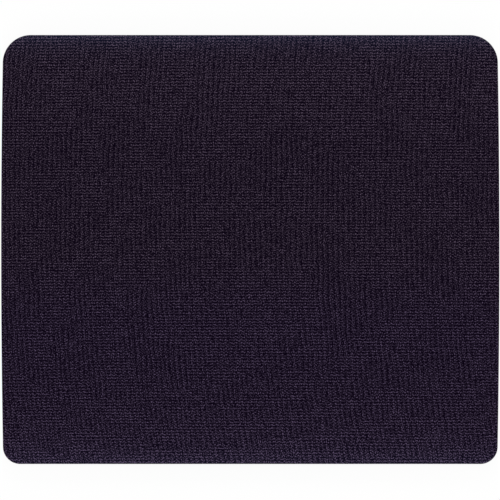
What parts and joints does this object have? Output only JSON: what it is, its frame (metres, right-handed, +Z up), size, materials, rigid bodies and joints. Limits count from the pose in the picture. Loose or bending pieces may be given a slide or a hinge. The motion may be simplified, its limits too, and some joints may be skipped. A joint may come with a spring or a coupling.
{
  "type": "mouse pad",
  "caption": "Flat rounded-rectangle desk mouse pad: a dark knitted cloth face glued to a soft sponge rubber base, with a die-cut edge.",
  "frame": {"origin": "under the middle of the pad, on the desk", "axes": "+X along the width, to the user's right; +Y away from the user; +Z up, out of the cloth face"},
  "size_m": [0.2358, 0.203, 0.006],
  "materials": {
    "sponge": "matt black sponge rubber, open pores on the cut edge, woven imprint underneath",
    "film": "dried laminating glue, slightly shiny at the cut edge",
    "cloth": "matt knitted jersey, very dark violet blue"
  },
  "bodies": {
    "root": {"sponge_base": "sponge", "adhesive_film": "film", "jersey_cloth": "cloth"}
  },
  "joints": []
}
